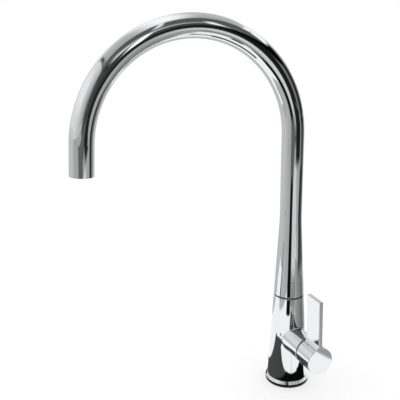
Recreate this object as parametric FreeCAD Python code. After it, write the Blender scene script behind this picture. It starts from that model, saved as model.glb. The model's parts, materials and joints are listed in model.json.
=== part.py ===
import FreeCAD, Part
import math
import os

# Deck-mounted kitchen tap for hot, cold and filtered water.
# Millimetres. The origin is the centre of the deck hole on the deck's surface, +Z is up,
# the spout reaches towards -Y and the lever arm points towards +X.

# ---- base -------------------------------------------------------------------
seal_thickness = 3.0            # rubber seal between the base ring and the deck
seal_diameter = 51.2
ring_diameter = 51.6            # widest part of the tap
ring_top_height = 7.0           # where the cone rises out of the base ring
ring_edge_height = 0.9          # upright edge under the ring's sloping top
ring_wall_inside = 1.6          # how far the ring reaches in under the cone
deck_hole_diameter = 35.0       # hole that the deck needs

# ---- tapering body and column -----------------------------------------------
cone_base_diameter = 48.0       # the taper, carried down to the deck
column_diameter = 25.0          # where the taper ends, and all along the spout
cone_height = 205.0             # height at which the taper meets the column's size
column_blend_radius = 300.0     # eases the taper into the straight column
seam_height = 112.3             # joint between the fixed body and the swivelling spout
seam_gap = 1.4
edge_break = 0.3                # broken edges beside the seams
foot_round = 0.8                # rounded lower edge of the spout

# ---- gooseneck --------------------------------------------------------------
riser_height = 303.6            # end of the straight column, start of the arch
arch_radius = 117.2             # centreline
arch_sweep = 176.2              # degrees
outlet_length = 32.0            # straight end after the arch
tube_wall = 1.2

# ---- swivel -----------------------------------------------------------------
spigot_diameter = 22.0
spigot_length = 25.0            # above its collar
spigot_wall = 2.5
spigot_thread_step = 1.0        # the thread is this much smaller in radius
spigot_thread_length = 12.0     # screwed into the body's top
spigot_collar_height = 2.0      # flange that clamps on the body's top
spigot_collar_width = 1.5       # how far it stands out from the spigot
sleeve_wall = 2.6
spigot_o_ring_heights = (14.0, 21.0)   # above the seam
o_ring_thickness = 1.6
retaining_groove_height = 8.5   # above the seam
retaining_groove_width = 5.4
retaining_groove_depth = 1.5
retaining_screw_diameter = 4.6
glide_ring_recess = 1.2         # how far the seam's ring stands back from the surface

# ---- lever arm and hub ------------------------------------------------------
arm_axis_height = 59.7
arm_wall = 1.95                 # round the cartridge's nut
hub_back = 47.4                 # distance of the hub's back edge from the column's axis
hub_length = 25.4
hub_gap = 1.8                   # seam between the arm and the hub
hub_wall = 2.4
hub_bore_depth = 11.0
arm_fillet = 0.8

# ---- paddle -----------------------------------------------------------------
paddle_thickness = 4.6
paddle_reach = 71.6             # from the arm's axis to the paddle's top
paddle_lean = 1.2               # degrees, towards the spout, with the lever closed
paddle_root_fillet = 4.5
paddle_edge_round = 0.5

# ---- lever screw ------------------------------------------------------------
lever_screw_diameter = 5.0
lever_screw_length = 6.0
lever_screw_from_end = 9.0      # from the hub's end face
key_across_flats = 2.5          # hexagon socket of the two grub screws
key_depth = 3.0
lever_cap_thickness = 1.5
lever_cap_diameter = 6.4

# ---- cartridge --------------------------------------------------------------
cartridge_diameter = 25.0       # with the walls round it, this sets the arm's size
pocket_floor = 19.0             # distance of the cartridge's seat from the column's axis
port_seal_thickness = 1.2
cartridge_base_thickness = 4.0
fixed_disc_thickness = 3.5
moving_disc_thickness = 3.5
cartridge_wall = 1.5
disc_play = 0.2                 # between a disc and the housing's wall
disc_rim = 1.2                  # ceramic left outside the ports
cartridge_roof_thickness = 4.0
neck_step = 4.0                 # the neck is this much smaller in radius than the cartridge
neck_length = 11.0
stem_diameter = 8.0
stem_shoulder_width = 2.0
peg_diameter = 2.4              # two pegs turn the moving disc
peg_length = 1.5
stem_o_ring_thickness = 1.3
stem_o_ring_from_shoulder = 6.0
chamber_diameter = 9.0          # hollow in the moving disc that joins the ports
chamber_offset = 3.0
chamber_depth = 1.6
stem_driver_thickness = 2.5
stem_end_wall = 4.5             # metal left between the stem's end and the hub's end face
stem_flats = 6.4                # across the two flats that drive the lever
stem_flats_length = 10.0
nut_shoulder = 0.9              # how far the nut overlaps the step round the cartridge
nut_thread_length = 6.0
nut_hex_height = 3.6
guide_ring_wall = 0.75
guide_ring_recess = 1.6         # how far its flange stands back from the arm's surface

# ---- waterways in the body --------------------------------------------------
waterway_diameter = 6.0         # bored up from the inlets
port_diameter = 4.4             # bored in from the cartridge's seat
inlet_thread_diameter = 9.0     # M10 x 1, at the crest of its thread
inlet_thread_length = 11.0
stud_thread_diameter = 6.8      # M8, at the crest of its thread
stud_thread_length = 16.0
hot_inlet = (-9.0, 4.5)
cold_inlet = (9.0, 4.5)
filtered_inlet = (0.0, -10.0)
stud_place = (0.0, 10.0)
mixed_riser_diameter = 4.0      # mixed water on its way up to the spigot
drill_overrun = 0.5             # how far one bore runs past the bore that it meets
hot_port_angle = 20.0           # round the cartridge's seat, from +Y towards +Z
cold_port_angle = -62.0
filtered_port_angle = 200.0
mixed_port_angle = 118.0
top_pocket_depth = 20.0         # pocket in the body's top, under the spigot
boss_diameter = 11.4            # carries the filtered water up the middle of that pocket
boss_height = 9.0

# ---- filtered water tube ----------------------------------------------------
inner_tube_diameter = 8.0
inner_tube_wall = 1.0
connector_length = 10.0         # the part that plugs into the boss
connector_diameter = 7.0
connector_flange_diameter = 10.0
connector_flange_height = 1.6
connector_bore = 3.6
connector_o_ring_thickness = 1.1
barb_length = 8.0

# ---- aerator ----------------------------------------------------------------
insert_wall = 1.3               # threaded insert fixed in the spout's end
insert_ledge = 3.2              # how far its ledge reaches in over the gasket
insert_ledge_height = 1.5
aerator_setback = 0.8           # the aerator stands back from the spout's end
aerator_length = 12.0
aerator_wall = 1.5
aerator_lip = 0.7               # holds the core up
aerator_lip_height = 1.2
core_height = 5.0
core_cell = 1.4                 # across the flats of a cell
core_pitch = 2.0
nozzle_bore = 3.8
nozzle_diameter = 6.6
screen_thickness = 0.6
screen_hole = 0.9
screen_pitch = 1.5
gasket_thickness = 1.1
key_slot_width = 2.4
key_slot_depth = 1.0

# ---- clearances -------------------------------------------------------------
seat_gap = 0.05                 # fixed pieces that sit in each other
face_gap = 0.02                 # flat faces that are clamped together
running_gap = 0.08              # turning fits
clear_gap = 0.3                 # pieces that must not touch

origin = FreeCAD.Vector(0, 0, 0)
along_x = FreeCAD.Vector(1, 0, 0)
along_y = FreeCAD.Vector(0, 1, 0)
up = FreeCAD.Vector(0, 0, 1)

# ---- sizes worked out from the ones above -----------------------------------
ring_radius = ring_diameter / 2
column_radius = column_diameter / 2
column_bore_radius = column_radius - tube_wall
cone_slope = (cone_base_diameter / 2 - column_radius) / cone_height
cone_lean = math.atan(cone_slope)
body_top = seam_height - seam_gap / 2
spout_foot = seam_height + seam_gap / 2
body_foot_radius = cone_base_diameter / 2 - cone_slope * ring_top_height - ring_wall_inside

arch_centre = FreeCAD.Vector(0, -arch_radius, riser_height)
outlet_lean = math.radians(180 - arch_sweep)
outlet_direction = FreeCAD.Vector(0, -math.sin(outlet_lean), -math.cos(outlet_lean))
arch_end = arch_centre + FreeCAD.Vector(0, -math.cos(outlet_lean), math.sin(outlet_lean)) * arch_radius
outlet_end = arch_end + outlet_direction * outlet_length

spigot_radius = spigot_diameter / 2
spigot_bore_radius = spigot_radius - spigot_wall
spigot_thread_radius = spigot_radius - spigot_thread_step
spigot_collar_radius = spigot_radius + spigot_collar_width
spigot_top = body_top + spigot_collar_height + spigot_length
sleeve_bore_radius = spigot_radius + running_gap
sleeve_radius = sleeve_bore_radius + sleeve_wall
sleeve_foot = spout_foot + spigot_collar_height
retaining_height = seam_height + retaining_groove_height
retaining_groove_radius = spigot_radius - retaining_groove_depth
retaining_screw_radius = retaining_screw_diameter / 2

cartridge_radius = cartridge_diameter / 2
pocket_radius = cartridge_radius + seat_gap
nut_radius = cartridge_radius + nut_shoulder
arm_radius = nut_radius + seat_gap + arm_wall
arm_end = hub_back - hub_gap
hub_end = hub_back + hub_length
hub_bore_radius = arm_radius - hub_wall
socket_start = hub_back + hub_bore_depth
guide_ring_radius = hub_bore_radius - running_gap
nut_corner_radius = guide_ring_radius - guide_ring_wall - seat_gap
nut_across_flats = nut_corner_radius * math.sqrt(3)
neck_radius = cartridge_radius - neck_step
cartridge_base_start = pocket_floor + port_seal_thickness
disc_start = cartridge_base_start + cartridge_base_thickness + seat_gap
moving_disc_start = disc_start + fixed_disc_thickness + seat_gap
driver_start = moving_disc_start + moving_disc_thickness + face_gap
cartridge_shoulder = arm_end - nut_thread_length - seat_gap - face_gap
roof_start = cartridge_shoulder - cartridge_roof_thickness
neck_end = cartridge_shoulder + neck_length
stem_end = hub_end - stem_end_wall - clear_gap
stem_radius = stem_diameter / 2
cavity_radius = cartridge_radius - cartridge_wall
disc_radius = cavity_radius - disc_play
moving_disc_radius = disc_radius - clear_gap
port_circle_radius = disc_radius - port_diameter / 2 - disc_rim
nut_start = cartridge_shoulder + seat_gap
nut_hex_start = nut_start + nut_thread_length
lever_screw_place = hub_end - lever_screw_from_end
lever_screw_top = stem_flats / 2 + seat_gap

boss_foot = body_top - top_pocket_depth
boss_top = boss_foot + boss_height
connector_radius = connector_diameter / 2
connector_foot = boss_top + running_gap - connector_length
connector_top = boss_top + running_gap + connector_flange_height
inner_tube_radius = inner_tube_diameter / 2
inner_tube_bore_radius = inner_tube_radius - inner_tube_wall
barb_radius = inner_tube_bore_radius - seat_gap

insert_radius = column_bore_radius - seat_gap
insert_bore_radius = insert_radius - insert_wall
aerator_radius = insert_bore_radius - seat_gap
aerator_bore_radius = aerator_radius - aerator_wall
aerator_top = aerator_setback + aerator_length
ledge_start = aerator_top + gasket_thickness + 2 * face_gap
core_start = aerator_setback + aerator_lip_height + face_gap
core_radius = aerator_bore_radius - seat_gap
screen_start = core_start + core_height + face_gap
nozzle_radius = nozzle_diameter / 2
inner_tube_end = ledge_start + insert_ledge_height


def cone_radius(height):
    return cone_base_diameter / 2 - cone_slope * height


def rod(radius, start, length, direction=up):
    return Part.makeCylinder(radius, length, start, direction)


def tube(outer, inner, start, length, direction=up):
    return rod(outer, start, length, direction).cut(rod(inner, start, length, direction))


def at_height(height):
    return FreeCAD.Vector(0, 0, height)


def on_arm(distance, sideways=0.0, above=0.0):
    """A point at a distance along the lever arm's axis from the column's axis."""
    return FreeCAD.Vector(distance, sideways, arm_axis_height + above)


def in_plan(place, height):
    return FreeCAD.Vector(place[0], place[1], height)


def turned(points):
    """A solid turned about the column's axis, from its (radius, height) corners."""
    corners = [FreeCAD.Vector(radius, 0, height) for radius, height in points]
    face = Part.Face(Part.makePolygon(corners + [corners[0]]))
    return face.revolve(origin, up, 360)


def hexagon(across_flats, start, length, direction, sideways):
    """A hexagonal bar. The sideways direction is square to its length."""
    corner_radius = across_flats / math.sqrt(3)
    other = direction.cross(sideways)
    corners = []
    for step in range(7):
        angle = math.radians(60 * step)
        corners.append(start + sideways * (corner_radius * math.cos(angle))
                       + other * (corner_radius * math.sin(angle)))
    return Part.Face(Part.makePolygon(corners)).extrude(direction * length)


def seat_port(angle):
    """Sideways and upward distance of a port from the cartridge's axis."""
    turn = math.radians(angle)
    return (port_circle_radius * math.cos(turn), port_circle_radius * math.sin(turn))


hot_port = seat_port(hot_port_angle)
cold_port = seat_port(cold_port_angle)
filtered_port = seat_port(filtered_port_angle)
mixed_port = seat_port(mixed_port_angle)
clean_port = (0.0, 0.0)         # filtered water on its way out

# the mixed water rises into the middle of the ring-shaped pocket under the spigot
pocket_middle_radius = (boss_diameter / 2 + spigot_thread_radius) / 2
mixed_riser_distance = math.sqrt(pocket_middle_radius ** 2 - mixed_port[0] ** 2)


def o_ring(thickness, outer_radius, centre, direction):
    return Part.makeTorus(outer_radius - thickness / 2, thickness / 2, centre, direction)


def o_ring_groove(thickness, outer_radius, centre, direction):
    """The ring of space that an o-ring needs in the surface of its shaft."""
    width = thickness + 2 * seat_gap
    start = centre - direction * (width / 2)
    return tube(outer_radius + thickness, outer_radius - thickness - seat_gap, start, width, direction)


def grub_screw(radius, start, length, direction, sideways):
    """A set screw from its tip outwards, with a hexagon socket in its outer end."""
    outer_end = start + direction * length
    socket = hexagon(key_across_flats, outer_end, key_depth, direction * -1, sideways)
    return rod(radius, start, length, direction).cut(socket)


# ---- base -------------------------------------------------------------------
def make_base_seal():
    inner = deck_hole_diameter / 2
    return tube(seal_diameter / 2, inner, origin, seal_thickness - face_gap)


def make_base_ring():
    inner = body_foot_radius + seat_gap
    top = ring_top_height - face_gap
    return turned([(inner, seal_thickness), (ring_radius, seal_thickness),
                   (ring_radius, seal_thickness + ring_edge_height),
                   (cone_radius(ring_top_height) + edge_break, top), (inner, top)])


# ---- fixed body -------------------------------------------------------------
def body_outside():
    """The tapering casting with its side arm."""
    rim_height = body_top - edge_break
    rim_radius = cone_radius(rim_height)
    cone = turned([(0, seal_thickness), (body_foot_radius, seal_thickness),
                   (body_foot_radius, ring_top_height), (cone_radius(ring_top_height), ring_top_height),
                   (rim_radius, rim_height), (rim_radius - edge_break, body_top), (0, body_top)])
    tip_start = arm_end - edge_break
    arm = rod(arm_radius, on_arm(0), tip_start, along_x)
    tip = Part.makeCone(arm_radius, arm_radius - edge_break, edge_break, on_arm(tip_start), along_x)
    return cone.multiFuse([arm, tip]).removeSplitter()


def with_arm_fillet(casting):
    """Rounds the corner where the arm leaves the cone."""
    corner = [edge for edge in casting.Edges if is_arm_corner(edge)]
    return casting.makeFillet(arm_fillet, corner)


def is_arm_corner(edge):
    """True for the curve that lies on both the arm's and the cone's outside."""
    first, last = edge.ParameterRange
    for step in (0.2, 0.5, 0.8):
        point = edge.valueAt(first + (last - first) * step)
        from_arm = math.hypot(point.y, point.z - arm_axis_height)
        from_column = math.hypot(point.x, point.y)
        if abs(from_arm - arm_radius) > 0.01 or abs(from_column - cone_radius(point.z)) > 0.01:
            return False
    return True


def waterways():
    """Bores from the three inlets to the cartridge, and from there to the spigot."""
    bore = waterway_diameter / 2
    port = port_diameter / 2
    cuts = []
    for inlet, place in ((hot_inlet, hot_port), (cold_inlet, cold_port), (filtered_inlet, filtered_port)):
        port_height = arm_axis_height + place[1]
        cuts.append(rod(inlet_thread_diameter / 2, in_plan(inlet, seal_thickness), inlet_thread_length))
        bore_length = port_height + port + drill_overrun - seal_thickness
        cuts.append(rod(bore, in_plan(inlet, seal_thickness), bore_length))
        cuts.append(rod(port, on_arm(inlet[0], *place), pocket_floor - inlet[0], along_x))
    mixed_start = mixed_riser_distance - mixed_riser_diameter / 2 - drill_overrun
    cuts.append(rod(port, on_arm(mixed_start, *mixed_port), pocket_floor - mixed_start, along_x))
    riser_foot = on_arm(mixed_riser_distance, *mixed_port)
    cuts.append(rod(mixed_riser_diameter / 2, riser_foot, boss_foot + drill_overrun - riser_foot.z))
    clean_start = -connector_bore / 2 - drill_overrun
    cuts.append(rod(port, on_arm(clean_start, *clean_port), pocket_floor - clean_start, along_x))
    clean_foot = on_arm(0, *clean_port)
    cuts.append(rod(connector_bore / 2, clean_foot, boss_top - clean_foot.z))
    cuts.append(rod(connector_radius + running_gap, at_height(connector_foot - clear_gap),
                    boss_top - connector_foot + clear_gap))
    return cuts


def cartridge_pocket():
    bore = rod(pocket_radius, on_arm(pocket_floor), hub_back - pocket_floor, along_x)
    thread = rod(nut_radius + seat_gap, on_arm(cartridge_shoulder), hub_back, along_x)
    return [bore, thread]


def make_tap_body():
    """Plated brass casting: cone, side arm, waterways and the seats of what it carries."""
    casting = with_arm_fillet(body_outside())
    cuts = waterways() + cartridge_pocket()
    spigot_thread = spigot_thread_radius + seat_gap
    cuts.append(tube(spigot_thread, boss_diameter / 2, at_height(boss_foot), boss_height))
    cuts.append(rod(spigot_thread, at_height(boss_top), body_top - boss_top))
    cuts.append(rod(stud_thread_diameter / 2, in_plan(stud_place, seal_thickness), stud_thread_length))
    return casting.cut(cuts)


# ---- swivel spigot ----------------------------------------------------------
def make_swivel_spigot():
    """Brass tube screwed into the body's top, on which the spout turns."""
    foot = body_top - spigot_thread_length
    thread = rod(spigot_thread_radius, at_height(foot), spigot_thread_length)
    collar = rod(spigot_collar_radius, at_height(body_top + face_gap), spigot_collar_height - face_gap)
    shaft = rod(spigot_radius, at_height(body_top + face_gap), spigot_top - body_top - face_gap)
    neck = rod(spigot_thread_radius, at_height(body_top), face_gap)
    spigot = thread.multiFuse([neck, collar, shaft]).removeSplitter()
    groove_start = at_height(retaining_height - retaining_groove_width / 2)
    cuts = [rod(spigot_bore_radius, at_height(foot), spigot_top - foot),
            tube(spigot_diameter, retaining_groove_radius, groove_start, retaining_groove_width)]
    for height in spigot_o_ring_heights:
        cuts.append(o_ring_groove(o_ring_thickness, spigot_radius, at_height(seam_height + height), up))
    return spigot.cut(cuts)


def make_spigot_o_rings():
    rings = [o_ring(o_ring_thickness, spigot_radius, at_height(seam_height + height), up)
             for height in spigot_o_ring_heights]
    return Part.makeCompound(rings)


def make_seam_glide_ring():
    """Flat ring in the seam that carries the spout's foot."""
    outer = cone_radius(seam_height) - glide_ring_recess
    inner = spigot_collar_radius + clear_gap
    return tube(outer, inner, at_height(body_top + face_gap), seam_gap - 2 * seat_gap)


# ---- cartridge, in the body's arm -------------------------------------------
def port_cuts(start, length):
    """The five waterways through a disc that lies against the cartridge's seat."""
    ports = (hot_port, cold_port, filtered_port, mixed_port, clean_port)
    return [rod(port_diameter / 2, on_arm(start, *port), length, along_x) for port in ports]


def make_cartridge_port_seal():
    thickness = port_seal_thickness - 2 * face_gap
    plate = rod(cartridge_radius, on_arm(pocket_floor + face_gap), thickness, along_x)
    return plate.cut(port_cuts(pocket_floor, port_seal_thickness))


def make_cartridge_base():
    plate = rod(cartridge_radius, on_arm(cartridge_base_start), cartridge_base_thickness, along_x)
    return plate.cut(port_cuts(cartridge_base_start, cartridge_base_thickness))


def make_fixed_disc():
    disc = rod(disc_radius, on_arm(disc_start), fixed_disc_thickness, along_x)
    return disc.cut(port_cuts(disc_start, fixed_disc_thickness))


def make_moving_disc():
    """Ceramic disc whose hollow joins an inlet port to its outlet as it turns."""
    disc = rod(moving_disc_radius, on_arm(moving_disc_start), moving_disc_thickness, along_x)
    chamber = rod(chamber_diameter / 2, on_arm(moving_disc_start, 0, chamber_offset), chamber_depth, along_x)
    pegs = drive_pegs(peg_diameter / 2 + seat_gap, peg_length + seat_gap)
    return disc.cut([chamber] + pegs)


def drive_pegs(radius, length):
    across = port_circle_radius
    return [rod(radius, on_arm(driver_start, side * across), length, along_x * -1) for side in (-1, 1)]


def make_cartridge_housing():
    shell_start = disc_start
    shell = rod(cartridge_radius, on_arm(shell_start), cartridge_shoulder - shell_start, along_x)
    neck = rod(neck_radius, on_arm(cartridge_shoulder), neck_length, along_x)
    cavity = rod(cavity_radius, on_arm(shell_start), roof_start - shell_start, along_x)
    stem_hole = rod(stem_radius + running_gap, on_arm(shell_start), neck_end - shell_start, along_x)
    return shell.fuse(neck).cut([cavity, stem_hole])


def make_cartridge_stem():
    """Spindle from the moving disc to the lever, with two flats at its outer end."""
    driver = rod(moving_disc_radius, on_arm(driver_start), stem_driver_thickness, along_x)
    shoulder_length = roof_start - clear_gap - driver_start
    shoulder = rod(stem_radius + stem_shoulder_width, on_arm(driver_start), shoulder_length, along_x)
    shaft = rod(stem_radius, on_arm(driver_start), stem_end - driver_start, along_x)
    stem = driver.multiFuse([shoulder, shaft] + drive_pegs(peg_diameter / 2, peg_length))
    flats_start = stem_end - stem_flats_length
    cuts = [o_ring_groove(stem_o_ring_thickness, stem_radius,
                          on_arm(cartridge_shoulder + stem_o_ring_from_shoulder), along_x)]
    for side in (-1, 1):
        low = stem_flats / 2 if side > 0 else -stem_flats / 2 - stem_diameter
        cuts.append(Part.makeBox(stem_flats_length, stem_diameter, stem_diameter,
                                 on_arm(flats_start, -stem_radius, low)))
    return stem.cut(cuts)


def make_stem_o_ring():
    place = on_arm(cartridge_shoulder + stem_o_ring_from_shoulder)
    return o_ring(stem_o_ring_thickness, stem_radius, place, along_x)


def make_cartridge_nut():
    thread = rod(nut_radius, on_arm(nut_start), nut_thread_length, along_x)
    head = hexagon(nut_across_flats, on_arm(nut_hex_start), nut_hex_height, along_x, along_y)
    length = nut_thread_length + nut_hex_height
    return thread.fuse(head).cut(rod(neck_radius + seat_gap, on_arm(nut_start), length, along_x))


def make_hub_guide_ring():
    """Ring in the seam between arm and hub, centred on the nut, that guides the hub."""
    start = arm_end + face_gap
    inner = nut_corner_radius + seat_gap
    flange = tube(arm_radius - guide_ring_recess, inner, on_arm(start), hub_gap - 2 * seat_gap, along_x)
    sleeve_end = nut_hex_start + nut_hex_height
    sleeve = tube(guide_ring_radius, inner, on_arm(start), sleeve_end - start, along_x)
    return flange.fuse(sleeve).removeSplitter()


# ---- lever ------------------------------------------------------------------
def leaned(shape):
    """A piece of the lever or its stem, turned about the arm's axis to where it is when closed."""
    return shape.rotated(on_arm(0), along_x, paddle_lean)


def lever_outside():
    """Round hub with an upright paddle along its whole length."""
    hub = rod(arm_radius, on_arm(hub_back), hub_length, along_x)
    paddle = Part.makeBox(hub_length, paddle_thickness, paddle_reach, on_arm(hub_back, -paddle_thickness / 2))
    lever = hub.fuse(paddle).removeSplitter()
    root = [edge for edge in lever.Edges if is_paddle_root(edge)]
    lever = lever.makeFillet(paddle_root_fillet, root)
    rims = [edge for edge in lever.Edges if is_lever_rim(edge)]
    return lever.makeFillet(paddle_edge_round, rims)


def is_paddle_root(edge):
    """True for the two straight lines where the paddle meets the hub."""
    middle = edge.CenterOfMass
    along = abs(edge.BoundBox.XLength - hub_length) < 0.01
    beside = abs(abs(middle.y) - paddle_thickness / 2) < 0.01
    return along and beside and middle.z < arm_axis_height + arm_radius


def is_lever_rim(edge):
    """True for the edges round the two end faces and along the paddle's top."""
    box = edge.BoundBox
    at_end = box.XLength < 0.01 and min(abs(box.XMin - hub_back), abs(box.XMin - hub_end)) < 0.01
    on_top = box.ZMin > arm_axis_height + paddle_reach - 0.01
    return at_end or on_top


def make_lever_handle():
    """Cast lever with its hollow back, the stem's socket and the screw's hole."""
    hollow = rod(hub_bore_radius, on_arm(hub_back), hub_bore_depth, along_x)
    socket_length = hub_end - stem_end_wall - socket_start
    socket = rod(stem_radius + seat_gap, on_arm(socket_start), socket_length, along_x)
    flats = Part.makeBox(socket_length, stem_diameter * 2, stem_flats + 2 * seat_gap,
                         on_arm(socket_start, -stem_diameter, -stem_flats / 2 - seat_gap))
    screw_hole = rod(lever_screw_diameter / 2 + seat_gap, on_arm(lever_screw_place), arm_radius, up * -1)
    cap_seat = rod(lever_cap_diameter / 2 + seat_gap, lever_cap_top(), arm_radius, up * -1)
    return lever_outside().cut([hollow, socket.common(flats), screw_hole, cap_seat])


def make_lever_screw():
    start = on_arm(lever_screw_place, 0, -lever_screw_top)
    return grub_screw(lever_screw_diameter / 2, start, lever_screw_length, up * -1, along_x)


def lever_cap_top():
    """Inner face of the cap, sunk so that its flat outer face stays inside the round hub."""
    sunk = arm_radius - math.sqrt(arm_radius ** 2 - (lever_cap_diameter / 2) ** 2)
    return on_arm(lever_screw_place, 0, lever_cap_thickness + sunk - arm_radius)


def make_lever_cap():
    """Plug that hides the lever's screw."""
    start = lever_cap_top() - up * face_gap
    return rod(lever_cap_diameter / 2, start, lever_cap_thickness - face_gap, up * -1)


# ---- spout ------------------------------------------------------------------
def gooseneck(radius, foot, end_trim=0.0):
    """A round bar up the column, over the arch and down to the outlet."""
    riser = rod(radius, at_height(foot), riser_height - foot)
    disc = Part.Face(Part.Wire(Part.makeCircle(radius, at_height(riser_height), up)))
    arch = disc.revolve(arch_centre, along_x, arch_sweep)
    outlet = rod(radius, arch_end, outlet_length - end_trim, outlet_direction)
    return riser.multiFuse([arch, outlet]).removeSplitter()


def foot_rounding():
    """Start, middle and end of the arc that rounds the spout's lower edge."""
    corner = FreeCAD.Vector(cone_radius(spout_foot), 0, spout_foot)
    up_the_cone = FreeCAD.Vector(-math.sin(cone_lean), 0, math.cos(cone_lean))
    tangent = foot_round * math.tan(math.pi / 4 + cone_lean / 2)
    start = corner - along_x * tangent
    centre = start + up * foot_round
    middle = centre + (corner - centre).normalize() * foot_round
    return start, middle, corner + up_the_cone * tangent


def taper():
    """The cone from the seam up to the straight column, eased into it by an arc."""
    tangent = column_blend_radius * math.tan(cone_lean / 2)
    arc_start = FreeCAD.Vector(column_radius + tangent * math.sin(cone_lean), 0,
                               cone_height - tangent * math.cos(cone_lean))
    arc_end = FreeCAD.Vector(column_radius, 0, cone_height + tangent)
    centre = arc_end + along_x * column_blend_radius
    toward_middle = FreeCAD.Vector(-math.cos(cone_lean / 2), 0, -math.sin(cone_lean / 2))
    arc_middle = centre + toward_middle * column_blend_radius
    round_start, round_middle, round_end = foot_rounding()
    top = at_height(arc_end.z)
    foot = at_height(spout_foot)
    edges = [Part.makeLine(top, foot), Part.makeLine(foot, round_start),
             Part.Arc(round_start, round_middle, round_end).toShape(),
             Part.makeLine(round_end, arc_start),
             Part.Arc(arc_start, arc_middle, arc_end).toShape(), Part.makeLine(arc_end, top)]
    return Part.Face(Part.Wire(edges)).revolve(origin, up, 360)


def retaining_hole(radius):
    return rod(radius, at_height(retaining_height), cone_base_diameter, along_y)


def make_spout_tube():
    """Tapering foot, column, arch and outlet in one tube."""
    outside = taper().fuse(gooseneck(column_radius, cone_height)).removeSplitter()
    rim = [edge for edge in outside.Edges if is_outlet_rim(edge)]
    outside = outside.makeChamfer(edge_break, rim)
    seat_radius = sleeve_radius + seat_gap
    seat = rod(seat_radius, at_height(spout_foot), spigot_top - spout_foot)
    easing = Part.makeCone(seat_radius, column_bore_radius, cone_height - spigot_top, at_height(spigot_top))
    bore = gooseneck(column_bore_radius, spigot_top)
    hole = retaining_hole(retaining_screw_radius + seat_gap)
    return outside.cut([seat, easing, bore, hole])


def is_outlet_rim(edge):
    return edge.CenterOfMass.distanceToPoint(outlet_end) < 0.01


def make_swivel_sleeve():
    """Bush in the spout's foot that turns on the spigot."""
    sleeve = tube(sleeve_radius, sleeve_bore_radius, at_height(sleeve_foot), spigot_top - sleeve_foot)
    return sleeve.cut(retaining_hole(retaining_screw_radius + seat_gap))


def make_retaining_screw():
    """Grub screw at the back of the spout whose tip rides in the spigot's groove."""
    tip = retaining_groove_radius + clear_gap
    outer_end = cone_radius(retaining_height) - edge_break
    start = FreeCAD.Vector(0, tip, retaining_height)
    return grub_screw(retaining_screw_radius, start, outer_end - tip, along_y, along_x)


def make_inner_tube():
    """Plastic tube that keeps the filtered water apart up to the outlet."""
    outer = gooseneck(inner_tube_radius, connector_top, inner_tube_end)
    return outer.cut(gooseneck(inner_tube_bore_radius, connector_top, inner_tube_end))


def make_tube_connector():
    """Plug at the inner tube's foot that turns in the body's boss."""
    stub = rod(connector_radius, at_height(connector_foot), connector_top - connector_foot)
    flange = rod(connector_flange_diameter / 2, at_height(connector_top - connector_flange_height),
                 connector_flange_height)
    barb = rod(barb_radius, at_height(connector_top), barb_length)
    cuts = [rod(connector_bore / 2, at_height(connector_foot), connector_length * 2 + barb_length),
            o_ring_groove(connector_o_ring_thickness, connector_radius, connector_o_ring_place(), up)]
    return stub.multiFuse([flange, barb]).cut(cuts)


def connector_o_ring_place():
    return at_height((connector_foot + boss_top) / 2)


def make_connector_o_ring():
    return o_ring(connector_o_ring_thickness, connector_radius, connector_o_ring_place(), up)


# ---- outlet, drawn upright over the origin and then moved to the spout's end -------
def at_outlet(shape):
    placed = shape.copy()
    placed.rotate(origin, along_x, -math.degrees(outlet_lean))
    placed.translate(outlet_end)
    return placed


def grid_cells(pitch, inner, outer):
    """Centres of a triangular grid that lie between two radii."""
    cells = []
    steps = int(outer / pitch) + 2
    for row in range(-steps, steps + 1):
        for column in range(-steps, steps + 1):
            across = (column + 0.5 * (row % 2)) * pitch
            along = row * pitch * math.sqrt(3) / 2
            if inner < math.hypot(across, along) < outer:
                cells.append(FreeCAD.Vector(across, along, 0))
    return cells


def make_outlet_insert():
    """Brass insert in the spout's end, threaded for the aerator."""
    start = edge_break
    sleeve = tube(insert_radius, insert_bore_radius, at_height(start), ledge_start - start)
    ledge = tube(insert_radius, insert_radius - insert_ledge, at_height(ledge_start), insert_ledge_height)
    return sleeve.fuse(ledge).removeSplitter()


def make_aerator_housing():
    """Ring screwed into the insert, with two slots for its key."""
    wall = tube(aerator_radius, aerator_bore_radius, at_height(aerator_setback), aerator_length)
    lip_bore_radius = aerator_bore_radius - aerator_lip
    lip = tube(aerator_radius, lip_bore_radius, at_height(aerator_setback), aerator_lip_height)
    ring = wall.fuse(lip).removeSplitter()
    slot = Part.makeBox(insert_radius * 4, key_slot_width, key_slot_depth,
                        FreeCAD.Vector(-insert_radius * 2, -key_slot_width / 2, aerator_setback))
    return ring.cut(slot)


def make_aerator_core():
    """Plastic honeycomb that straightens the mixed water."""
    core = tube(core_radius, nozzle_radius + seat_gap, at_height(core_start), core_height)
    margin = core_cell / math.sqrt(3) + clear_gap
    cells = [hexagon(core_cell, cell + at_height(core_start), core_height, up, along_y)
             for cell in grid_cells(core_pitch, nozzle_radius + margin, core_radius - margin)]
    return core.cut(cells)


def make_aerator_screen():
    screen = tube(core_radius, nozzle_radius + seat_gap, at_height(screen_start), screen_thickness)
    margin = screen_hole / 2 + clear_gap
    holes = [rod(screen_hole / 2, cell + at_height(screen_start), screen_thickness)
             for cell in grid_cells(screen_pitch, nozzle_radius + margin, core_radius - margin)]
    return screen.cut(holes)


def make_aerator_gasket():
    inner = insert_radius - insert_ledge
    return tube(aerator_radius, inner, at_height(aerator_top + face_gap), gasket_thickness)


def make_filtered_nozzle():
    """Nozzle in the middle of the aerator, pushed into the inner tube's end."""
    start = aerator_setback + face_gap
    stub = rod(nozzle_radius, at_height(start), inner_tube_end - face_gap - start)
    barb = rod(barb_radius, at_height(inner_tube_end - face_gap), barb_length)
    bore = rod(nozzle_bore / 2, at_height(start), inner_tube_end + barb_length)
    return stub.fuse(barb).cut(bore)


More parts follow.
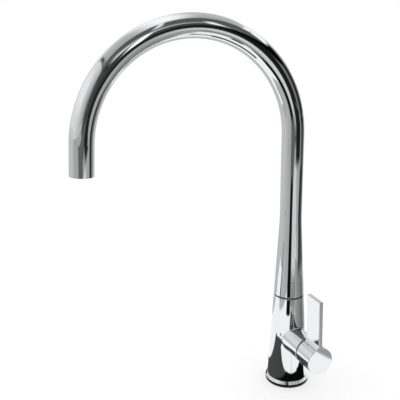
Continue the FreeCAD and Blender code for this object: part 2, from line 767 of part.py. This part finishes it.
pieces = {
    "base_seal": make_base_seal(),
    "base_ring": make_base_ring(),
    "tap_body": make_tap_body(),
    "swivel_spigot": make_swivel_spigot(),
    "spigot_o_rings": make_spigot_o_rings(),
    "seam_glide_ring": make_seam_glide_ring(),
    "cartridge_port_seal": make_cartridge_port_seal(),
    "cartridge_base": make_cartridge_base(),
    "cartridge_fixed_disc": make_fixed_disc(),
    "cartridge_moving_disc": leaned(make_moving_disc()),
    "cartridge_housing": make_cartridge_housing(),
    "cartridge_stem": leaned(make_cartridge_stem()),
    "stem_o_ring": leaned(make_stem_o_ring()),
    "cartridge_nut": make_cartridge_nut(),
    "hub_guide_ring": make_hub_guide_ring(),
    "lever_handle": leaned(make_lever_handle()),
    "lever_screw": leaned(make_lever_screw()),
    "lever_screw_cap": leaned(make_lever_cap()),
    "spout_tube": make_spout_tube(),
    "swivel_sleeve": make_swivel_sleeve(),
    "spout_retaining_screw": make_retaining_screw(),
    "filtered_water_tube": make_inner_tube(),
    "tube_connector": make_tube_connector(),
    "connector_o_ring": make_connector_o_ring(),
    "outlet_insert": at_outlet(make_outlet_insert()),
    "aerator_housing": at_outlet(make_aerator_housing()),
    "aerator_core": at_outlet(make_aerator_core()),
    "aerator_screen": at_outlet(make_aerator_screen()),
    "aerator_gasket": at_outlet(make_aerator_gasket()),
    "filtered_nozzle": at_outlet(make_filtered_nozzle()),
}

os.makedirs("parts", exist_ok=True)
for name, shape in pieces.items():
    shape.exportStep("parts/" + name + ".step")
    print(name, "valid" if shape.isValid() else "INVALID", len(shape.Solids), "solids",
          round(shape.Volume, 1), "mm3")
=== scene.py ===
import bpy
import bmesh
import json
import math
from mathutils import Matrix, Vector

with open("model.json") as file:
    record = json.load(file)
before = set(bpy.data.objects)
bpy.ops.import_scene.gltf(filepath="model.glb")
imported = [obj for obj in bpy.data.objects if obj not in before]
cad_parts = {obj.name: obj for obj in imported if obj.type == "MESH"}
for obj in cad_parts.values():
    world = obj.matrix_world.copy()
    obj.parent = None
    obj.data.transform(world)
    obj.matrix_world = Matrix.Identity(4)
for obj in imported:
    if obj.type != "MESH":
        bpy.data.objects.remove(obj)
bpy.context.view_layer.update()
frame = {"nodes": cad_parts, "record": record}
nodes = frame["nodes"]
scene = bpy.context.scene
print("frame loaded,", len(nodes), "pieces")


def linearColour(hexCode):
    # sRGB hex to the linear values that shaders use
    values = [int(hexCode[i:i + 2], 16) / 255 for i in (1, 3, 5)]
    linear = [v / 12.92 if v <= 0.04045 else ((v + 0.055) / 1.055) ** 2.4 for v in values]
    return (*linear, 1.0)


def addNode(tree, kind, inputs=None, **settings):
    # inputs: a value sets the socket, and a socket of another node is linked to it
    node = tree.nodes.new(kind)
    for name, value in settings.items():
        setattr(node, name, value)
    for name, value in (inputs or {}).items():
        if isinstance(value, bpy.types.NodeSocket):
            tree.links.new(value, node.inputs[name])
        else:
            node.inputs[name].default_value = value
    return node


def emptyMaterial(name):
    material = bpy.data.materials.new(name)
    material.use_nodes = True
    material.node_tree.nodes.clear()
    return material, material.node_tree


def newMaterial(name):
    material, tree = emptyMaterial(name)
    shader = addNode(tree, "ShaderNodeBsdfPrincipled")
    addNode(tree, "ShaderNodeOutputMaterial", {"Surface": shader.outputs["BSDF"]})
    place = addNode(tree, "ShaderNodeTexCoord")
    return material, tree, shader, place.outputs["Object"]


def plugIn(tree, shader, sources):
    for name, source in sources.items():
        tree.links.new(source, shader.inputs[name])


# The camera stands at the photograph's angle.
camera = {
    "place": (0.593326, -0.343706, 0.422119),
    "heading": 68.64,     # degrees about Z
    "tilt": 74.10,        # 90 would look level
    "roll": -0.8655,
    "lens": 55.665,       # mm
    "sensor": 36,         # mm
    "clip": (0.01, 50),   # m
}


def makeCamera(c):
    data = bpy.data.cameras.new("camera")
    data.lens = c["lens"]
    data.sensor_width = c["sensor"]
    data.clip_start, data.clip_end = c["clip"]
    eye = bpy.data.objects.new("camera", data)
    turn = (Matrix.Rotation(math.radians(c["heading"]), 4, "Z")
            @ Matrix.Rotation(math.radians(c["tilt"]), 4, "X")
            @ Matrix.Rotation(math.radians(c["roll"]), 4, "Z"))
    eye.matrix_world = Matrix.Translation(c["place"]) @ turn
    scene.collection.objects.link(eye)
    scene.camera = eye


makeCamera(camera)
print("camera placed")


# Chrome plate: bright nickel and chromium on brass that was buffed by hand. It mirrors its
# surroundings, slightly blurred by wiping marks, with a faint long ripple left by the buffing.
chromePlate = {
    "colour": "#F1F2F3",
    "roughness": (0.012, 0.05),
    "wipeSize": 0.022,     # m across a wiped patch
    "wipeRange": (0.35, 0.75),   # values of the wiping noise at the two roughnesses
    "rippleSize": 0.030,   # m from crest to crest
    "rippleDepth": 0.000012,   # m
}


def makeChromePlate(p):
    material, tree, shader, place = newMaterial("chromePlateOnBrass")
    wipes = addNode(tree, "ShaderNodeTexNoise", {
        "Vector": place, "Scale": 1 / p["wipeSize"], "Detail": 4.0, "Roughness": 0.6,
        "Distortion": 0.8})
    spread = addNode(tree, "ShaderNodeMapRange", {
        "Value": wipes.outputs["Fac"],
        "From Min": p["wipeRange"][0], "From Max": p["wipeRange"][1],
        "To Min": p["roughness"][0], "To Max": p["roughness"][1]})
    ripple = addNode(tree, "ShaderNodeTexNoise", {
        "Vector": place, "Scale": 1 / p["rippleSize"], "Detail": 0.0})
    bump = addNode(tree, "ShaderNodeBump", {
        "Height": ripple.outputs["Fac"], "Distance": p["rippleDepth"], "Strength": 1.0})
    shader.inputs["Base Color"].default_value = linearColour(p["colour"])
    shader.inputs["Metallic"].default_value = 1.0
    plugIn(tree, shader, {"Roughness": spread.outputs["Result"], "Normal": bump.outputs["Normal"]})
    return material


# Places of a colour Mix node's sockets, which can't be told apart by name.
firstColour, secondColour, mixedColour = 6, 7, 2

# Turned brass: warm yellow metal with fine tool marks that blur its gloss.
bareBrass = {
    "colour": "#C9A45C",
    "dark": "#A98443",
    "turning": 0.0006,     # m across a tool mark
    "depth": 0.000015,     # m
    "strength": 0.6,
    "toneSize": 1 / 180,   # m across a patch of darker tone
    "roughness": (0.22, 0.34),
}
# Stainless steel, turned and pierced: greyer and duller than chrome.
stainlessSteel = {
    "colour": "#B9BABB",
    "dark": "#8F9092",
    "turning": 0.0005,
    "depth": 0.000015,
    "strength": 0.6,
    "toneSize": 1 / 180,
    "roughness": (0.24, 0.38),
}


def makeTurnedMetal(name, p):
    material, tree, shader, place = newMaterial(name)
    marks = addNode(tree, "ShaderNodeTexNoise", {
        "Vector": place, "Scale": 1 / p["turning"], "Detail": 2.0, "Roughness": 0.5})
    tone = addNode(tree, "ShaderNodeTexNoise", {
        "Vector": place, "Scale": 1 / p["toneSize"], "Detail": 3.0})
    mix = addNode(tree, "ShaderNodeMix", {
        "Factor": tone.outputs["Fac"], firstColour: linearColour(p["colour"]),
        secondColour: linearColour(p["dark"])}, data_type="RGBA")
    gloss = addNode(tree, "ShaderNodeMapRange", {
        "Value": marks.outputs["Fac"], "To Min": p["roughness"][0], "To Max": p["roughness"][1]})
    bump = addNode(tree, "ShaderNodeBump", {
        "Height": marks.outputs["Fac"], "Distance": p["depth"], "Strength": p["strength"]})
    shader.inputs["Metallic"].default_value = 1.0
    plugIn(tree, shader, {"Base Color": mix.outputs[mixedColour],
                          "Roughness": gloss.outputs["Result"], "Normal": bump.outputs["Normal"]})
    return material


# The rubbers, plastics and ceramic share one build: a skin with a fine grain and a slight change
# of tone, where each one's own colour, gloss and grain make it what it is. Their keys are the
# record's slots, grain is the metres from one grain to the next, and depth how far it rises.
mouldedStuffs = {
    # moulded EPDM rubber: near black, with a dull soft sheen
    "black_rubber": {"name": "mouldedEpdmRubber", "colour": "#131314", "pale": "#202122",
                     "roughness": (0.38, 0.58), "grain": 0.0004, "depth": 0.00002, "ior": 1.52},
    # moulded silicone: brick red and slightly dusty
    "red_silicone": {"name": "mouldedRedSilicone", "colour": "#A82E22", "pale": "#BD4233",
                     "roughness": (0.36, 0.50), "grain": 0.0005, "depth": 0.000015, "ior": 1.43},
    # moulded acetal, black and white: smooth and waxy, glossier than the rubber
    "dark_acetal": {"name": "mouldedBlackAcetal", "colour": "#1B1B1D", "pale": "#29292C",
                    "roughness": (0.26, 0.38), "grain": 0.0006, "depth": 0.00001, "ior": 1.48},
    "white_acetal": {"name": "mouldedWhiteAcetal", "colour": "#E9E9E4", "pale": "#DCDCD5",
                     "roughness": (0.28, 0.40), "grain": 0.0006, "depth": 0.00001, "ior": 1.48},
    # lapped alumina ceramic: ivory white and the smoothest of them
    "alumina": {"name": "lappedAluminaCeramic", "colour": "#F1EEE4", "pale": "#E6E2D6",
                "roughness": (0.12, 0.20), "grain": 0.0008, "depth": 0.000004, "ior": 1.76},
    # extruded polyethylene tube: milky, cool white with a soft gloss
    "polyethylene": {"name": "extrudedPolyethylene", "colour": "#E6E9EA", "pale": "#D5DADC",
                     "roughness": (0.32, 0.44), "grain": 0.0010, "depth": 0.00002, "ior": 1.51},
}
patchSize = 1 / 90      # m across a patch of another tone in a moulded skin
grainStrength = 0.8


def makeMoulded(p):
    material, tree, shader, place = newMaterial(p["name"])
    grain = addNode(tree, "ShaderNodeTexNoise", {
        "Vector": place, "Scale": 1 / p["grain"], "Detail": 3.0, "Roughness": 0.55})
    patches = addNode(tree, "ShaderNodeTexNoise", {
        "Vector": place, "Scale": 1 / patchSize, "Detail": 3.0})
    mix = addNode(tree, "ShaderNodeMix", {
        "Factor": patches.outputs["Fac"], firstColour: linearColour(p["colour"]),
        secondColour: linearColour(p["pale"])}, data_type="RGBA")
    gloss = addNode(tree, "ShaderNodeMapRange", {
        "Value": patches.outputs["Fac"], "To Min": p["roughness"][0], "To Max": p["roughness"][1]})
    bump = addNode(tree, "ShaderNodeBump", {
        "Height": grain.outputs["Fac"], "Distance": p["depth"], "Strength": grainStrength})
    shader.inputs["IOR"].default_value = p["ior"]
    plugIn(tree, shader, {"Base Color": mix.outputs[mixedColour],
                          "Roughness": gloss.outputs["Result"], "Normal": bump.outputs["Normal"]})
    return material


finishes = {slot: makeMoulded(p) for slot, p in mouldedStuffs.items()}
finishes["chrome_plate"] = makeChromePlate(chromePlate)
finishes["bare_brass"] = makeTurnedMetal("turnedBrass", bareBrass)
finishes["stainless"] = makeTurnedMetal("turnedStainlessSteel", stainlessSteel)
for part in frame["record"]["subparts"]:
    piece = nodes[part["node"]]
    piece.data.materials.clear()
    piece.data.materials.append(finishes[part["material_slot"]])
print("materials on", len(nodes), "pieces")


studio = {
    "floorRadius": 6.0,       # m
    "floorSides": 96,
    "floorColour": "#FFFFFF",
    "floorRoughness": 0.9,
    "floorWhite": 0.5,        # share of plain white in the floor that the camera sees
    "worldColour": "#FFFFFF",
    "worldLight": 1.0,        # strength of the white room, where 1 is plain white
}
hardEdge = 0.001              # share of a flat that its edge fades over where soft is 0
flatCuts = 7                  # cuts each way, which keep the fade even on a slanted flat


def flatMaterial(name, f):
    # even light that fades from one level to the other along the flat, with soft edges
    material, tree = emptyMaterial(name)
    place = addNode(tree, "ShaderNodeUVMap", uv_map="across")
    split = addNode(tree, "ShaderNodeSeparateXYZ", {0: place.outputs["UV"]})
    along, across = split.outputs["X"], split.outputs["Y"]
    fadeFrom, fadeTo = f.get("fade", (0.0, 1.0))
    level = addNode(tree, "ShaderNodeMapRange", {
        "Value": along, "From Min": fadeFrom, "From Max": fadeTo,
        "To Min": f["level"][0], "To Max": f["level"][1]})
    light = addNode(tree, "ShaderNodeEmission", {
        "Color": (1.0, 1.0, 1.0, 1.0), "Strength": level.outputs["Result"]})
    softness = []
    for way, width in ((along, f["soft"][0]), (across, f["soft"][1])):
        other = addNode(tree, "ShaderNodeMath", {0: 1.0, 1: way}, operation="SUBTRACT")
        edge = addNode(tree, "ShaderNodeMath", {0: way, 1: other.outputs[0]}, operation="MINIMUM")
        softness.append(addNode(tree, "ShaderNodeMapRange", {
            "Value": edge.outputs[0], "From Min": 0.0, "From Max": max(width, hardEdge)},
            interpolation_type="SMOOTHSTEP"))
    cover = addNode(tree, "ShaderNodeMath", {
        0: softness[0].outputs["Result"], 1: softness[1].outputs["Result"]}, operation="MULTIPLY")
    clear = addNode(tree, "ShaderNodeBsdfTransparent")
    mix = addNode(tree, "ShaderNodeMixShader", {
        0: cover.outputs[0], 1: clear.outputs["BSDF"], 2: light.outputs["Emission"]})
    addNode(tree, "ShaderNodeOutputMaterial", {"Surface": mix.outputs["Shader"]})
    return material


def makeFloor(s):
    mesh = bpy.data.meshes.new("floor")
    bm = bmesh.new()
    bmesh.ops.create_circle(bm, cap_ends=True, segments=s["floorSides"], radius=s["floorRadius"])
    bm.to_mesh(mesh)
    bm.free()
    floor = bpy.data.objects.new("floor", mesh)
    scene.collection.objects.link(floor)
    # painted board: even, chalky white without any gloss
    material, tree, shader, _ = newMaterial("paintedBoard")
    shader.inputs["Base Color"].default_value = linearColour(s["floorColour"])
    shader.inputs["Roughness"].default_value = s["floorRoughness"]
    shader.inputs["Specular IOR Level"].default_value = 0.0
    # the camera sees half of the floor's shade, so the background is as white as in the photograph
    path = addNode(tree, "ShaderNodeLightPath")
    share = addNode(tree, "ShaderNodeMath", {
        0: path.outputs["Is Camera Ray"], 1: s["floorWhite"]}, operation="MULTIPLY")
    white = addNode(tree, "ShaderNodeEmission", {
        "Color": linearColour(s["floorColour"]), "Strength": 1.0})
    mix = addNode(tree, "ShaderNodeMixShader", {
        0: share.outputs[0], 1: shader.outputs["BSDF"], 2: white.outputs["Emission"]})
    output = tree.get_output_node("ALL")
    tree.links.new(mix.outputs["Shader"], output.inputs["Surface"])
    floor.data.materials.append(material)


def makeWorld(s):
    world = bpy.data.worlds.new("whiteRoom")
    scene.world = world
    world.use_nodes = True
    tree = world.node_tree
    tree.nodes.clear()
    back = addNode(tree, "ShaderNodeBackground", {
        "Color": linearColour(s["worldColour"]), "Strength": s["worldLight"]})
    addNode(tree, "ShaderNodeOutputWorld", {"Surface": back.outputs["Background"]})


makeFloor(studio)
makeWorld(studio)

# Flats that only mirrors see, and so only the polished metal shows. Those of the table have their
# corners in metres, and those of the room have theirs as azimuth and elevation in degrees, seen
# from inside the arch. level is the grey at the flat's left and right end, fade the part of its
# length over which that changes, and soft the share of it that the ends and the sides fade over.
roomCentre = Vector((0.0, -0.12, 0.30))
tableFlats = {
    "farTable": {"level": (0.57, 0.40), "fade": (0.479, 0.525), "soft": (0.0, 0.0),
                 "height": 0.0002, "corners": [(-12, -12), (12, -12), (12, 12), (-12, 12)]},
    "frontTable": {"level": (0.66, 0.66), "soft": (0.12, 0.10), "height": 0.0003,
                   "corners": [(0.46, -0.20), (1.30, -0.30), (1.20, 0.34), (0.46, 0.24)]},
    "nearTable": {"level": (0.98, 0.98), "soft": (0.06, 0.045), "height": 0.0004,
                  "corners": [(-0.46, -0.285), (0.32, -0.30), (0.35, 0.36), (-0.46, 0.40)]},
    "leftTable": {"level": (0.98, 0.98), "soft": (0.10, 0.10), "height": 0.0005,
                  "corners": [(-0.29, -0.50), (-0.030, -0.52), (-0.030, -0.20), (-0.27, -0.20)]},
    "leftGrey": {"level": (0.52, 0.54), "soft": (0.04, 0.05), "height": 0.0006,
                 "corners": [(-0.70, -0.50), (-0.222, -0.27), (-0.135, 0.30), (-0.62, 0.36)]},
    "tableFold": {"level": (0.03, 0.02), "soft": (0.10, 0.30), "height": 0.0007,
                  "corners": [(0.025, -0.75), (-0.012, -0.30), (-0.070, -0.30), (-0.035, -0.75)]},
    "tableEnd": {"level": (0.22, 0.22), "soft": (0.45, 0.20), "height": 0.0005,
                 "corners": [(0.19, -0.14), (0.54, -0.14), (0.54, 0.42), (0.19, 0.42)]},
    "greyTable": {"level": (0.14, 0.40), "soft": (0.03, 0.03), "height": 0.0006,
                  "corners": [(0.02, 0.105), (0.20, 0.057), (0.62, 0.12), (0.12, 0.62)]},
    "greyLeft": {"level": (0.40, 0.36), "soft": (0.15, 0.06), "height": 0.0006,
                 "corners": [(-0.12, 0.13), (0.035, 0.10), (0.12, 0.50), (-0.22, 0.50)]},
    "greyLine": {"level": (0.008, 0.008), "soft": (0.10, 0.30), "height": 0.0007,
                 "corners": [(0.010, 0.125), (0.008, 0.42), (0.092, 0.42), (0.046, 0.120)]},
    "backShade": {"level": (0.09, 0.015), "soft": (0.03, 0.16), "height": 0.0007,
                  "corners": [(0.24, 0.36), (3.6, 5.0), (-1.9, 5.0), (-0.16, 0.38)]},
    "sideShade": {"level": (0.02, 0.03), "soft": (0.15, 0.22), "height": 0.0008,
                  "corners": [(0.31, 0.28), (0.80, 1.02), (0.0, 1.30), (0.235, 0.35)]},
    "sideFar": {"level": (0.015, 0.01), "soft": (0.07, 0.12), "height": 0.0009,
                "corners": [(1.20, 0.08), (4.50, 0.00), (2.60, 3.40), (0.72, 0.98)]},
    "tripodShade": {"level": (0.004, 0.008), "soft": (0.015, 0.20), "height": 0.0008,
                    "corners": [(0.185, -0.200), (0.83, -0.80), (1.12, -0.24), (0.262, -0.072)]},
    "leverShade": {"level": (0.02, 0.02), "soft": (0.12, 0.25), "height": 0.0008,
                   "corners": [(0.185, -0.085), (0.295, -0.066), (0.292, -0.010), (0.185, -0.032)]},
    "tripodFar": {"level": (0.11, 0.14), "soft": (0.10, 0.20), "height": 0.0009,
                  "corners": [(0.66, -0.70), (1.90, -2.40), (3.20, -0.30), (0.98, -0.15)]},
    "frontFar": {"level": (0.10, 0.12), "soft": (0.06, 0.15), "height": 0.0007,
                 "corners": [(1.30, -0.60), (7.0, -3.0), (7.0, 1.6), (1.40, 0.34)]},
    "plinth": {"level": (0.068, 0.055), "soft": (0.06, 0.03), "height": 0.0010,
               "corners": [(-0.060, -0.166), (0.057, -0.166), (0.057, 0.0), (-0.060, 0.0)]},
    "plinthShade": {"level": (0.003, 0.003), "soft": (0.12, 0.10), "height": 0.0012,
                    "corners": [(0.006, -0.042), (0.0590, -0.042), (0.067, 0.066), (0.018, 0.064)]},
    "tableLine": {"level": (0.40, 0.40), "soft": (0.05, 0.45), "height": 0.0012,
                  "corners": [(0.058, -0.0085), (0.130, -0.0205), (0.130, -0.0155),
                              (0.058, -0.0045)]},
}
roomFlats = {
    "ceiling": {"level": (0.66, 0.26), "soft": (0.03, 0.03), "distance": 20.0,
                "corners": [(-150, 26), (-30, 27), (40, 26), (140, 26)]},
    "horizonLeft": {"level": (0.68, 0.60), "soft": (0.02, 0.05), "distance": 11.0,
                    "corners": [(-176, -4), (-95, -4), (-95, 8), (-176, 8)]},
    "horizonFront": {"level": (0.73, 0.42), "soft": (0.02, 0.05), "distance": 11.0,
                     "corners": [(-97, -4), (-15, -4), (-15, 8), (-97, 8)]},
    "backWall": {"level": (0.66, 0.88), "soft": (0.04, 0.04), "distance": 6.0,
                 "corners": [(-158, -4), (148, -4), (148, 27), (-158, 27)]},
    "rearDim": {"level": (0.50, 0.58), "soft": (0.20, 0.30), "distance": 4.0,
                "corners": [(124, 22), (166, 6), (166, 44), (124, 54)]},
    "skyStrip": {"level": (1.05, 1.05), "soft": (0.30, 0.45), "distance": 6.0,
                 "corners": [(-168, 26), (-30, 55), (37, 53), (165, 26)]},
    "leftBank": {"level": (0.75, 0.28), "fade": (0.50, 0.83), "soft": (0.02, 0.03), "distance": 5.0,
                 "corners": [(-160, 1), (-20, 1), (-20, 18), (-160, 23)]},
    "bankShine": {"level": (0.90, 0.88), "soft": (0.30, 0.45), "distance": 1.95,
                  "corners": [(-150, 6), (-60, 6), (-60, 34), (-150, 36)]},
    "bankLine": {"level": (0.10, 0.10), "soft": (0.20, 0.45), "distance": 1.7,
                 "corners": [(-140, 36), (-62, 42), (-62, 47), (-140, 41)]},
    "bankEdge": {"level": (0.30, 0.010), "fade": (0.05, 0.80), "soft": (0.20, 0.42),
                 "distance": 4.6, "corners": [(-90, 42), (-4, -8), (-6, 26), (-88, 47)]},
    "frontWall": {"level": (0.05, 0.05), "soft": (0.05, 0.10), "distance": 4.95,
                  "corners": [(-22, -6), (54, -6), (54, 18), (-22, 18)]},
    "dimCorner": {"level": (0.10, 0.10), "soft": (0.12, 0.34), "distance": 9.0,
                  "corners": [(-54, 26), (76, -24), (76, 50), (-50, 56)]},
    "bankEnd": {"level": (0.10, 0.025), "soft": (0.22, 0.12), "distance": 3.8,
                "corners": [(-27, -6), (9, -6), (4, 14), (-30, 24)]},
    "keyLamp": {"level": (1.6, 1.6), "soft": (0.36, 0.28), "distance": 3.0,
                "corners": [(4, 6), (12, 7), (8, 29), (1, 29)]},
    "keyTail": {"level": (0.85, 0.85), "soft": (0.45, 0.20), "distance": 3.2,
                "corners": [(0, 36), (9, 36), (16, 80), (-10, 80)]},
    "sideLamp": {"level": (1.0, 1.0), "soft": (0.40, 0.35), "distance": 3.0,
                 "corners": [(24, 13), (32, 13), (36, 37), (28, 39)]},
    "rightBar": {"level": (0.003, 0.85), "fade": (0.53, 0.74), "soft": (0.05, 0.20),
                 "distance": 3.8, "corners": [(24, 6.2), (150, 8.4), (150, 16.0), (24, 15.2)]},
    "rightGrey": {"level": (0.24, 0.07), "soft": (0.15, 0.10), "distance": 4.3,
                  "corners": [(42, -6), (78, -6), (78, 17), (44, 13)]},
    "rightColumn": {"level": (0.012, 0.012), "soft": (0.20, 0.05), "distance": 4.2,
                    "corners": [(69, -7), (99, -7), (99, 20), (69, 20)]},
    "rightFade": {"level": (0.012, 0.85), "fade": (0.05, 1.0), "soft": (0.04, 0.05),
                  "distance": 4.4, "corners": [(92, -3), (152, -3), (152, 14), (92, 22)]},
    "rightEnd": {"level": (0.006, 0.010), "soft": (0.22, 0.22), "distance": 3.6,
                 "corners": [(12, -6), (52, -6), (50, 12), (13, 14)]},
    "rightGlow": {"level": (1.05, 0.95), "soft": (0.16, 0.45), "distance": 4.1,
                  "corners": [(70, 38), (152, 11), (152, 21), (70, 44)]},
}
# Small flats close to the foot, for the sloping top of the base ring: their corners are an azimuth
# in degrees and a height in metres, at the given radius from the column's axis.
footFlats = {
    "ringFront": {"level": (0.36, 0.50), "soft": (0.06, 0.15), "radius": 0.11,
                  "corners": [(-9.5, 0.0515), (7, 0.0465), (7, 0.0540), (-9.5, 0.0590)]},
    "ringRight": {"level": (0.34, 0.60), "soft": (0.02, 0.15), "radius": 0.10,
                  "corners": [(21, 0.0355), (51, 0.0215), (51, 0.0315), (21, 0.0455)]},
    "ringSide": {"level": (0.60, 0.95), "soft": (0.02, 0.15), "radius": 0.10,
                 "corners": [(50, 0.0215), (84, 0.001), (84, 0.013), (50, 0.0315)]},
}


def fromRoom(place, distance):
    azimuth, elevation = map(math.radians, place)
    level = math.cos(elevation)
    way = Vector((level * math.cos(azimuth), level * math.sin(azimuth), math.sin(elevation)))
    return roomCentre + way * distance


def fromColumn(place, radius):
    azimuth, height = math.radians(place[0]), place[1]
    return Vector((radius * math.cos(azimuth), radius * math.sin(azimuth), height))


def makeFlat(name, f, corners):
    mesh = bpy.data.meshes.new(name)
    bm = bmesh.new()
    face = bm.faces.new([bm.verts.new(c) for c in corners])
    across = bm.loops.layers.uv.new("across")
    for loop, uv in zip(face.loops, ((0, 0), (1, 0), (1, 1), (0, 1))):
        loop[across].uv = uv
    bmesh.ops.subdivide_edges(bm, edges=bm.edges[:], cuts=flatCuts, use_grid_fill=True)
    bm.to_mesh(mesh)
    bm.free()
    flat = bpy.data.objects.new(name, mesh)
    scene.collection.objects.link(flat)
    mesh.materials.append(flatMaterial(name, f))
    flat.visible_camera = False
    flat.visible_diffuse = False
    flat.visible_shadow = False
    flat.visible_transmission = False


for name, f in tableFlats.items():
    makeFlat(name, f, [(x, y, f["height"]) for x, y in f["corners"]])
for name, f in roomFlats.items():
    makeFlat(name, f, [fromRoom(c, f["distance"]) for c in f["corners"]])
for name, f in footFlats.items():
    makeFlat(name, f, [fromColumn(c, f["radius"]) for c in f["corners"]])

# Soft lamps for the floor and the dull pieces. Mirrors don't see them, only the flats above.
lamps = {
    "frontLamp": {"place": (1.6, 0.6, 2.2), "size": 1.6, "watts": 4.0},
    "leftLamp": {"place": (-0.6, -2.2, 1.6), "size": 1.8, "watts": 4.0},
}
lampAim = Vector((0, -0.05, 0.15))   # a point low on the tap that both are turned to


def makeLamp(name, s):
    data = bpy.data.lights.new(name, "AREA")
    data.shape = "SQUARE"
    data.size = s["size"]
    data.energy = s["watts"]
    lamp = bpy.data.objects.new(name, data)
    turn = (lampAim - Vector(s["place"])).to_track_quat("-Z", "Y")
    lamp.matrix_world = Matrix.Translation(s["place"]) @ turn.to_matrix().to_4x4()
    lamp.visible_glossy = False
    scene.collection.objects.link(lamp)


for name, s in lamps.items():
    makeLamp(name, s)
scene.view_settings.view_transform = "Standard"
print("studio set")
